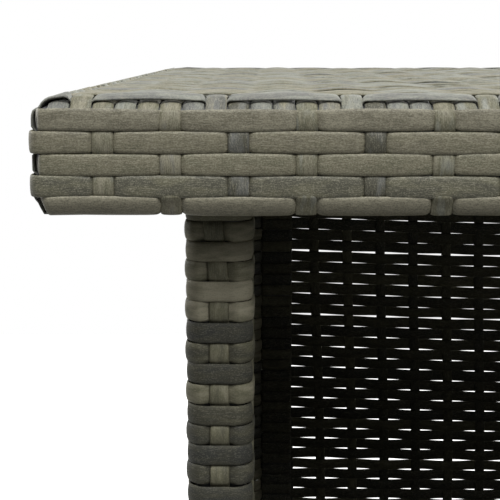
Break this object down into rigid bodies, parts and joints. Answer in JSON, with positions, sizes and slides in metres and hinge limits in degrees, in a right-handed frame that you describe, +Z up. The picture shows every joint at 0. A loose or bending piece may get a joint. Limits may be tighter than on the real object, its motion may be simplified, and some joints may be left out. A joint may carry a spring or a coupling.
{
  "type": "corner bar table",
  "caption": "Bar table with a woven top, woven legs, shelves, a closed guest side and one closed end.",
  "frame": {"origin": "on the floor, under the centre of the top", "axes": "+X to the right and +Y towards the guests for someone who stands at the staff side, +Z up"},
  "size_m": [1, 0.5, 1.05],
  "materials": {
    "rattan": "satin, finely ribbed strip",
    "steel": "fine-textured powder coat",
    "plastic": "moulded, matt",
    "zinc": "zinc plated"
  },
  "bodies": {
    "root": {"top_frame_staff_tube": "steel", "top_frame_guest_tube": "steel", "top_frame_left_tube": "steel", "top_frame_right_tube": "steel", "top_frame_leg_bars": "steel", "top_frame_slats": "steel", "top_weave": "rattan", "apron_weave_staff": "rattan", "apron_weave_guest": "rattan", "apron_weave_left": "rattan", "apron_weave_right": "rattan", "leg_staff_left": "steel", "leg_staff_right": "steel", "leg_guest_left": "steel", "leg_guest_right": "steel", "leg_weave_staff_left": "rattan", "leg_weave_staff_right": "rattan", "leg_weave_guest_left": "rattan", "leg_weave_guest_right": "rattan", "foot_staff_left": "plastic", "foot_staff_right": "plastic", "foot_guest_left": "plastic", "foot_guest_right": "plastic", "left_end_rails": "steel", "right_end_rails": "steel", "left_end_weave": "rattan", "left_end_bottom_wrap": "rattan", "right_rail_weave": "rattan", "guest_panel_stiles": "steel", "guest_panel_rails": "steel", "guest_panel_weave": "rattan", "guest_panel_edge_wraps": "rattan", "upper_shelf_side_tubes": "steel", "upper_shelf_end_tubes": "steel", "upper_shelf_slats": "steel", "upper_shelf_weave": "rattan", "upper_shelf_edge_wraps": "rattan", "lower_shelf_side_tubes": "steel", "lower_shelf_end_tubes": "steel", "lower_shelf_slats": "steel", "lower_shelf_weave": "rattan", "lower_shelf_edge_wraps": "rattan", "top_bolts": "zinc", "top_rivet_nuts": "zinc", "panel_bolts": "zinc", "panel_rivet_nuts": "zinc", "panel_bushes": "plastic", "shelf_bolts": "zinc", "shelf_rivet_nuts": "zinc", "shelf_bushes": "plastic"}
  },
  "joints": []
}
